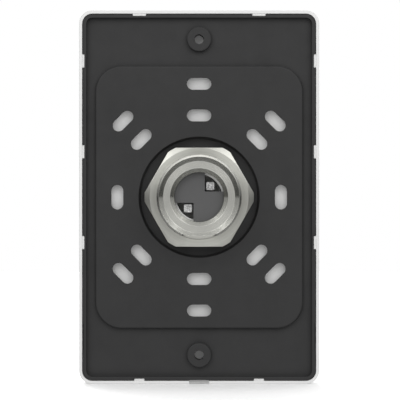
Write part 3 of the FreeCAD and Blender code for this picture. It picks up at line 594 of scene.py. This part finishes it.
@dataclass
class Barrel:
    """The nickel-plated operator body with its helical thread and locating flat."""

    radius: float = 11.0
    crest_fit: float = 0.02
    pitch: float = 1.5
    thread_depth: float = 0.62
    thread_bluntness: float = 0.72
    thread_fade: float = 0.5
    rows_per_pitch: int = 14
    thread_rear: float = 8.44
    latch_rear: float = 3.8
    latch_front: float = 3.0
    latch_radius: float = 10.3
    root_radius: float = 10.4
    relief: float = 1.2
    flange_radius: float = 17.0
    flange_rear: float = -5.3
    flange_front: float = -7.0
    cup_radius: float = 15.4
    cup_bore: float = 13.9
    cup_front: float = -12.0
    seat_bore: float = 8.7
    seat_rear: float = -5.8
    bore: float = 6.9
    disc_front: float = 4.2
    neck_radius: float = 6.45
    neck_rear: float = 7.15
    cone_radius: float = 7.5
    ledge: float = 8.05
    ledge_radius: float = 9.3
    lip: float = 8.98
    lip_radius: float = 10.42
    lip_width: float = 0.04
    edge_round: float = 0.07
    flat: float = 9.9
    flat_front: float = 2.5
    flat_step: float = 0.001
    plain_front: float = 2.2
    segments: int = 288

    def skirt(self) -> np.ndarray:
        """Corners of the barrel's turned shape from the flange forward, round the front and back to the rear.

        Returns:
            (n, 2) radius and station corners.
        """
        return np.array([
            [self.flange_radius, self.flange_rear], [self.flange_radius, self.flange_front],
            [self.cup_radius, self.flange_front], [self.cup_radius, self.cup_front],
            [self.cup_bore, self.cup_front], [self.cup_bore, self.flange_front],
            [self.seat_bore, self.flange_front], [self.seat_bore, self.seat_rear],
            [self.bore, self.seat_rear], [self.bore, self.disc_front],
            [self.neck_radius, self.disc_front], [self.neck_radius, self.neck_rear],
            [self.cone_radius, self.ledge], [self.ledge_radius, self.ledge],
            [self.lip_radius, self.lip], [self.lip_radius + self.lip_width, self.lip],
        ])

    def threaded(self, start: float, end: float, angle: np.ndarray) -> tuple[np.ndarray, np.ndarray]:
        """One threaded stretch of the barrel.

        The radius falls below the crest by the thread's depth times a blunt wave of the phase, where the phase
        is the station over the pitch less the angle over a full turn. The wave fades out at both ends.

        Args:
            start: rear station.
            end: front station.
            angle: angles round the axis.

        Returns:
            Radii (rows, columns) and stations (rows, 1).
        """
        rows = max(2, round(abs(start - end) / self.pitch * self.rows_per_pitch))
        station = np.linspace(start, end, rows)[:, None]
        phase = station / self.pitch - angle / TAU
        wave = np.clip(0.5 - self.thread_bluntness * np.cos(TAU * phase), 0.0, 1.0)
        fade = np.clip(np.minimum(start - station, station - end) / self.thread_fade, 0.0, 1.0)
        return self.radius - self.crest_fit - self.thread_depth * wave * fade, station

    def flattened(
        self, radius: np.ndarray, station: np.ndarray, angle: np.ndarray
    ) -> tuple[np.ndarray, np.ndarray]:
        """Cuts the locating flat along the underside.

        Below the axis the flat lies at its distance over the cosine of the angle from straight down. A point beyond
        it is drawn in to it, and the lip there is lowered to where the flat meets the mouth's cone, which rises
        evenly with the radius.

        Args:
            radius: (rows, columns) radii.
            station: (rows, 1) stations.
            angle: (1, columns) angles round the axis.

        Returns:
            The cut radii and stations, both (rows, columns).
        """
        down = np.maximum(-np.cos(angle), 1e-6)
        reach = self.flat / down
        cut = (station > self.flat_front) & (radius > reach)
        radius = np.where(cut, reach, radius)
        slope = (self.lip - self.ledge) / (self.lip_radius - self.ledge_radius)
        mouth = self.ledge + (radius - self.ledge_radius) * slope
        station = np.where(cut, np.minimum(station, mouth), station)
        return radius, station

    def build(self) -> bpy.types.Object:
        """Builds the barrel as one closed grid: threaded stretches outside, the turned shape for the rest.

        Returns:
            The new object.
        """
        angle = np.linspace(0.0, TAU, self.segments, endpoint=False)[None, :]
        turned = rounded(self.skirt(), self.edge_round, closed=False)
        step_rear, step_front = self.flat_front + self.flat_step, self.flat_front - self.flat_step
        plain = np.array([[self.latch_front], [step_rear], [step_front], [self.plain_front]])
        stretches = [
            self.threaded(self.thread_rear, self.latch_rear, angle),
            (np.full((2, 1), self.latch_radius), np.array([[self.latch_rear], [self.latch_front]])),
            (np.full((4, 1), self.radius - self.crest_fit), plain),
            self.threaded(self.plain_front, self.flange_rear + self.relief, angle),
            (np.array([[self.root_radius]]), np.array([[self.flange_rear]])),
            (turned[:, :1], turned[:, 1:]),
        ]
        radius = np.concatenate([np.broadcast_to(r, (len(r), self.segments)) for r, _ in stretches])
        station = np.concatenate([s for _, s in stretches])
        radius, station = self.flattened(radius, station, angle)
        points = round_the_axis(radius, station, angle)
        faces = grid_faces(len(points), self.segments, True).tolist()
        return new_piece("barrel_body", points.reshape(-1, 3), faces, sharp=32.0)


@dataclass
class HexNut:
    """The nickel-plated nut: hexagonal, with both ends turned to a chamfer."""

    across_flats: float = 26.0
    corner: float = 14.375
    face: float = 12.95
    chamfer_drop: float = 0.82
    bore: float = 11.03
    countersink: float = 0.05
    rear: float = 2.5
    front: float = -1.7
    face_hold: float = 0.05
    edge_round: float = 0.07
    per_flat: int = 25
    per_corner: int = 7

    def angles(self) -> np.ndarray:
        """Angles round the nut, closest together at its six turned corners.

        Returns:
            (n,) angles in radians.
        """
        half = math.acos(self.across_flats / 2 / self.corner)
        sector = math.pi / 3
        flat = np.linspace(-half, half, self.per_flat, endpoint=False)
        corner = np.linspace(half, sector - half, self.per_corner, endpoint=False)
        return (np.concatenate([flat, corner])[None, :] + sector * np.arange(6)[:, None]).ravel()

    def build(self) -> bpy.types.Object:
        """Builds the nut as one closed grid.

        At each angle the outside lies at half the flats' distance over the cosine of the angle from the nearest
        flat, and no further out than the turned corner. The chamfer falls in step with how far it reaches past
        the face's edge.

        Returns:
            The new object.
        """
        angle = self.angles()
        from_flat = (angle + math.pi / 6) % (math.pi / 3) - math.pi / 6
        outside = np.minimum(self.across_flats / 2 / np.cos(from_flat), self.corner)
        slope = self.chamfer_drop / (self.corner - self.face)
        drop = (outside - self.face) * slope
        same = np.ones_like(angle)
        mouth = self.bore + self.countersink
        rows = [
            (self.bore * same, (self.rear - self.countersink) * same),
            (mouth * same, self.rear * same),
            ((mouth + self.face_hold) * same, self.rear * same),
            ((self.face - self.face_hold) * same, self.rear * same),
            (self.face * same, self.rear * same),
            (outside, self.rear - drop),
            (outside, self.front + drop),
            (self.face * same, self.front * same),
            (mouth * same, self.front * same),
            (self.bore * same, (self.front + self.countersink) * same),
        ]
        radius, station = (np.stack(column) for column in zip(*rows))
        points = round_the_axis(radius, station, angle).reshape(-1, 3)
        nut = new_piece("nut_body", points, grid_faces(len(rows), len(angle), True).tolist(), sharp=15.0)
        edge = nut.modifiers.new("edges", "BEVEL")
        edge.width = self.edge_round * MM
        edge.segments = 2
        edge.limit_method = "ANGLE"
        edge.angle_limit = math.radians(24)
        return nut


@dataclass
class Operator:
    """The body of the operator: barrel, nut, washer, gasket, sleeve and disc."""

    nut_nickel: Turned = Turned("turned_nickel_nut", (0.66, 0.66, 0.61), roughness=0.33, anisotropy=0.8)
    nickel: Turned = Turned(
        "turned_nickel", (0.65, 0.65, 0.605), roughness=0.2, anisotropy=0.86, edge_mm=0.05,
    )
    zinc: Plated = Plated("bright_zinc", (0.62, 0.63, 0.64))
    guide: Moulded = Moulded("grey_moulding", (0.105, 0.105, 0.106), mottle=0.05, roughness=0.6, edge_mm=0.1)
    sleeve: Moulded = Moulded(
        "light_grey_moulding", (0.7, 0.7, 0.69), mottle=0.05, roughness=0.55, edge_mm=0.1,
    )
    rubber: Moulded = Moulded(
        "seal_rubber", (0.025, 0.025, 0.026), roughness=0.75, grain_mm=0.12, specular=0.25, edge_wear_and_shade=1.1
    )

    def build(self) -> None:
        """Builds the barrel and the nut and dresses the whole operator."""
        barrel, nut = Barrel().build(), HexNut().build()
        dress(barrel, self.nickel.material())
        settle(barrel, Body.HOUSING, Slot.NICKEL, "barrel")
        dress(nut, self.nut_nickel.material())
        settle(nut, Body.HOUSING, Slot.NICKEL, "hex_nut")
        zinc = self.zinc.material()
        for node in ("lock_washer", "spring_seat", "core_screw"):
            dress(node, zinc)
        dress("guide_disc", self.guide.material())
        dress("guide_sleeve", self.sleeve.material())
        rubber = self.rubber.material()
        for node in ("panel_gasket", "bump_ring", "bezel_o_ring", "cap_seal", "stem_o_ring"):
            dress(node, rubber)


@dataclass
class Front:
    """What a hand meets: the bezel ring and the domed cap, with the core and the feet behind it."""

    dome_rise: float = 1.8
    cap_radius: float = 12.6
    cap_wall: float = 0.8
    cap_edge: float = -15.6
    cap_rear: float = -11.95
    foot_place: float = 2.9
    foot_segments: int = 48
    stainless: Turned = Turned(
        "satin_stainless", (0.61, 0.61, 0.6), roughness=0.26, anisotropy=0.6, ring_mm=0.14,
    )
    core: Moulded = Moulded("dark_moulding", (0.07, 0.07, 0.075), roughness=0.5)
    natural: Moulded = Moulded("natural_moulding", (0.6, 0.6, 0.58), roughness=0.5, mottle=0.06)
    white: Moulded = Moulded(
        "white_foot", (0.7, 0.7, 0.69), roughness=0.4, mottle=0.8, flow_mm=0.45, grain_mm=0.3,
        grain_depth_mm=0.05, edge_mm=0.1, edge_wear_and_shade=1.35,
    )

    def bezel(self) -> bpy.types.Object:
        """Builds the bezel ring from its outline, with soft outer edges and a fine lead-in at the button.

        Returns:
            The new object.
        """
        corners = np.array([
            [16.53, -7.03], [17.5, -7.03], [17.5, -15.0], [13.55, -15.0], [12.75, -14.6], [12.75, -14.1],
            [14.0, -14.1], [14.0, -12.9], [12.75, -12.9], [12.75, -12.0], [15.43, -12.0], [15.43, -8.13],
            [16.53, -8.13],
        ])
        radii = np.full(len(corners), 0.12)
        radii[1:5] = (0.2, 1.0, 0.35, 0.3)
        return revolve("bezel_body", rounded(corners, radii, closed=True, steps=6), 192)

    def cap(self) -> bpy.types.Object:
        """Builds the domed cap as a shell of even thickness.

        The dome is part of a sphere through the cap's edge, its radius being (edge^2 + rise^2) / (2 rise), and the
        inside is the same sphere made smaller by the wall.

        Returns:
            The new object.
        """
        sphere = (self.cap_radius**2 + self.dome_rise**2) / (2 * self.dome_rise)
        top = self.cap_edge - self.dome_rise
        centre = top + sphere
        reach = np.linspace(0.0, self.cap_radius - 1.1, 24)
        outer = np.stack([reach, centre - np.sqrt(sphere**2 - reach**2)], axis=1)
        edge = rounded(
            np.array([outer[-1], [self.cap_radius, self.cap_edge], [self.cap_radius, -13.0]]),
            0.7, closed=False, steps=8,
        )[1:-1]
        inner_reach = np.linspace(self.cap_radius - self.cap_wall, 0.0, 16)
        inner_sphere = sphere - self.cap_wall
        inner = np.stack([inner_reach, centre - np.sqrt(inner_sphere**2 - inner_reach**2)], axis=1)
        rim = np.array([[self.cap_radius, self.cap_rear], [self.cap_radius - self.cap_wall, self.cap_rear]])
        return revolve("cap_shell", np.concatenate([outer, edge, rim, inner]), 192)

    def foot(self, side: float) -> tuple[np.ndarray, np.ndarray]:
        """One actuator foot as a closed grid from its buried end to the middle of its sunk face.

        Each ring is a square with rounded corners: the point at angle a lies at half the side over the eighth-power
        norm of (cos a, sin a). The rings shrink and sink towards the middle of the end face.

        Args:
            side: +1 for the foot at +X, -1 for the other.

        Returns:
            The (rows, columns, 3) points and the (n, 4) vertex numbers of the faces.
        """
        angle = np.linspace(0.0, TAU, self.foot_segments, endpoint=False)[None, :]
        square = (np.abs(np.cos(angle)) ** 8 + np.abs(np.sin(angle)) ** 8) ** (-1 / 8)
        rings = np.array([
            [0.001, -2.62], [1.06, -2.62], [1.075, -2.58], [1.075, 4.5], [1.05, 4.58], [1.0, 4.6], [0.72, 4.6],
            [0.6, 4.56], [0.5, 4.44], [0.42, 4.34], [0.3, 4.31], [0.001, 4.3],
        ])
        across, station = rings[:, :1] * square, rings[:, 1:]
        x = self.foot_place * side + across * np.cos(angle)
        z = -self.foot_place * side + across * np.sin(angle)
        points = np.stack(np.broadcast_arrays(x, station, z), axis=-1)
        return points, grid_faces(len(rings), self.foot_segments, True)

    def feet(self) -> bpy.types.Object:
        """Builds the two feet as one piece of two closed shells.

        Returns:
            The new object.
        """
        near, faces = self.foot(1.0)
        far, _ = self.foot(-1.0)
        points = np.concatenate([near.reshape(-1, 3), far.reshape(-1, 3)])
        both = np.concatenate([faces, faces + near.shape[0] * near.shape[1]])
        return new_piece("foot_pair", points, both.tolist())

    def build(self) -> None:
        """Builds and dresses the bezel, the cap and the feet, and dresses the core and the plunger."""
        steel = self.stainless.material()
        bezel, cap, feet = self.bezel(), self.cap(), self.feet()
        dress(bezel, steel)
        settle(bezel, Body.HOUSING, Slot.STAINLESS, "bezel_ring")
        dress(cap, steel)
        settle(cap, Body.BUTTON, Slot.STAINLESS, "button_cap")
        dress(feet, self.white.material())
        settle(feet, Body.BUTTON, Slot.FEET, "actuator_feet")
        dress("cap_core", self.core.material())
        dress("plunger", self.natural.material())


@dataclass
class ReturnSpring:
    """The compression spring, with its end coils closed up and its pitch opened in the middle."""

    radius: float = 9.06
    wire: float = 0.35
    turns: float = 3.5
    rows_per_turn: int = 72
    wire_sides: int = 14
    seat: float = -7.5
    travel: float = 2.8
    steel: Plated = Plated("spring_wire", (0.5, 0.5, 0.51), roughness=0.3, cell_mm=0.3)

    def build(self) -> bpy.types.Object:
        """Carries a round section along the coil's line.

        The line's station is the smooth step 3s^2 - 2s^3 mixed half and half with s, for s from 0 to 1 along the
        wire, so that the end coils lie close. Each ring of the section stands across the line, and both ends
        close on a point.

        Returns:
            The new object.
        """
        s = np.linspace(0.0, 1.0, int(self.turns * self.rows_per_turn))[:, None]
        angle = TAU * self.turns * s
        low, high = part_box("return_spring")
        front, rear = low[1] / MM, high[1] / MM
        length = rear - front - 2 * self.wire
        station = front + self.wire + length * (0.5 * s + 0.5 * s * s * (3 - 2 * s))
        section = np.linspace(0.0, TAU, self.wire_sides, endpoint=False)[None, :]
        thick = self.wire * np.sqrt(np.clip(1 - np.abs(2 * s - 1) ** 160, 1e-6, 1.0))
        points = round_the_axis(self.radius + thick * np.cos(section), station + thick * np.sin(section), angle)
        last = (len(s) - 1) * self.wire_sides
        near_end = list(range(self.wire_sides))
        far_end = list(range(last, last + self.wire_sides))[::-1]
        faces = grid_faces(len(s), self.wire_sides, False).tolist() + [near_end, far_end]
        spring = new_piece("coil_spring", points.reshape(-1, 3), faces)
        dress(spring, self.steel.material())
        settle(spring, Body.HOUSING, Slot.SPRING, "return_spring")
        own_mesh(spring)
        return spring


# ---------------------------------------------------------------- studio


@dataclass(frozen=True)
class SoftBox:
    """A square soft light that faces the part."""

    name: str
    place: tuple[float, float, float]
    size: float
    power: float
    colour: Colour = (1.0, 1.0, 1.0)

    def build(self) -> bpy.types.Object:
        """Hangs the light and turns it to the origin.

        Returns:
            The light.
        """
        data = bpy.data.lights.new(self.name, "AREA")
        data.shape = "SQUARE"
        data.size = self.size
        data.energy = self.power
        data.color = self.colour
        made = bpy.data.objects.new(self.name, data)
        bpy.context.scene.collection.objects.link(made)
        made.location = self.place
        made.rotation_mode = "QUATERNION"
        made.rotation_quaternion = (-made.location).to_track_quat("-Z", "Y")
        return made


@dataclass
class Studio:
    """Floor, surrounding light, soft boxes and camera."""

    floor_gap: float = 0.0001
    floor_reach: float = 0.6
    floor_sides: int = 96
    eye_distance: float = 0.38
    eye_right: float = 0.00023
    eye_down: float = 0.00074
    frame_width: float = 0.1056
    boxes: tuple[SoftBox, ...] = (
        SoftBox("left_box", (0.30, 0.47, 0.34), 0.5, 1.32),
        SoftBox("right_box", (-0.30, 0.47, 0.34), 0.5, 1.32),
        SoftBox("front_box", (0.2, -0.5, 0.45), 0.5, 2.5),
    )

    def floor(self) -> None:
        """Lays a round pale floor just under the part."""
        angle = np.linspace(0.0, TAU, self.floor_sides, endpoint=False)
        points = np.stack([np.sin(angle), np.cos(angle), np.zeros_like(angle)], axis=-1) * self.floor_reach
        points[:, 2] = cad_box[0][2] - self.floor_gap
        mesh = bpy.data.meshes.new("floor")
        mesh.from_pydata(points, [], [list(range(self.floor_sides))[::-1]])
        made = bpy.data.objects.new("floor", mesh)
        bpy.context.scene.collection.objects.link(made)
        mesh.materials.append(PaleFloor().material())
        made.visible_diffuse = False
        made.visible_glossy = False

    def surround(self) -> None:
        """Lights the part from all round, and leaves plain white to be seen behind it.

        The light of a direction (x, y, z) is the sum of a top that grows with z, a table that grows with -z towards
        the back, a dim field that grows with the fourth power of y, and a low bright arch over the horizon at the
        sides.
        """
        world = bpy.data.worlds.new("studio")
        world.use_nodes = True
        bpy.context.scene.world = world
        graph = Graph(world.node_tree)
        parts = graph.add("SeparateXYZ", {0: graph.add("TexCoord").outputs["Generated"]}).outputs
        over = graph.math("MAXIMUM", parts["Z"], 0.0)
        under = graph.math("MAXIMUM", graph.math("MULTIPLY", parts["Z"], -1.0), 0.0)
        behind = graph.spread(parts["Y"], 0.0, 1.8, 0.16, -0.08)
        top = graph.math("MULTIPLY", over, graph.math("ADD", graph.math("MULTIPLY", over, behind), 0.35))
        edge_on = graph.math("ABSOLUTE", graph.math("SUBTRACT", parts["Y"], 0.17))
        table = graph.math("MULTIPLY", under, graph.spread(edge_on, 0.03, 1.3, 0.14, 0.42))
        ahead = graph.math("MULTIPLY", graph.math("POWER", parts["Y"], 4.0), 0.5)
        offset = graph.math("ABSOLUTE", graph.math("SUBTRACT", parts["Y"], 0.22))
        above = graph.spread(parts["Z"], 0.0, 0.37, -0.02, 0.03)
        low = graph.math("MULTIPLY", above, graph.math("SUBTRACT", 1.0, graph.math("MULTIPLY", over, 0.6)))
        arch = graph.math("MULTIPLY", low, graph.spread(offset, 1.0, 0.0, 0.1, 0.24))
        total = graph.math("ADD", graph.math("ADD", top, table), graph.math("ADD", ahead, arch))
        total = graph.math("ADD", total, 0.03)
        seen = graph.add("LightPath").outputs["Is Camera Ray"]
        level = graph.math("ADD", graph.math("MULTIPLY", total, graph.math("SUBTRACT", 1.0, seen)), seen)
        graph.finish(graph.add("Background", {"Strength": level, "Color": (1.0, 1.0, 1.0, 1.0)}), "OutputWorld")

    def camera(self) -> None:
        """Stands the camera level behind the part, looking along -Y."""
        data = bpy.data.cameras.new("camera")
        data.sensor_width = 36.0
        data.lens = data.sensor_width * self.eye_distance / self.frame_width
        data.clip_start, data.clip_end = 0.01, 20.0
        made = bpy.data.objects.new("camera", data)
        bpy.context.scene.collection.objects.link(made)
        made.location = (-self.eye_right, self.eye_distance, -self.eye_down)
        made.rotation_euler = (math.pi / 2, 0.0, math.pi)
        bpy.context.scene.camera = made

    def build(self) -> None:
        """Sets up the whole studio."""
        bpy.context.scene.view_settings.view_transform = "Standard"
        self.camera()
        self.floor()
        self.surround()
        for box in self.boxes:
            box.build()
        log.info("studio: %d soft boxes", len(self.boxes))


def main() -> None:
    """Builds and dresses each sub-assembly in order."""
    logging.basicConfig(level=logging.INFO, format="%(name)s: %(message)s")
    Studio().build()
    WallPlate().dress()
    Operator().build()
    Front().build()
    ReturnSpring().build()


if __name__ == "__main__":
    main()
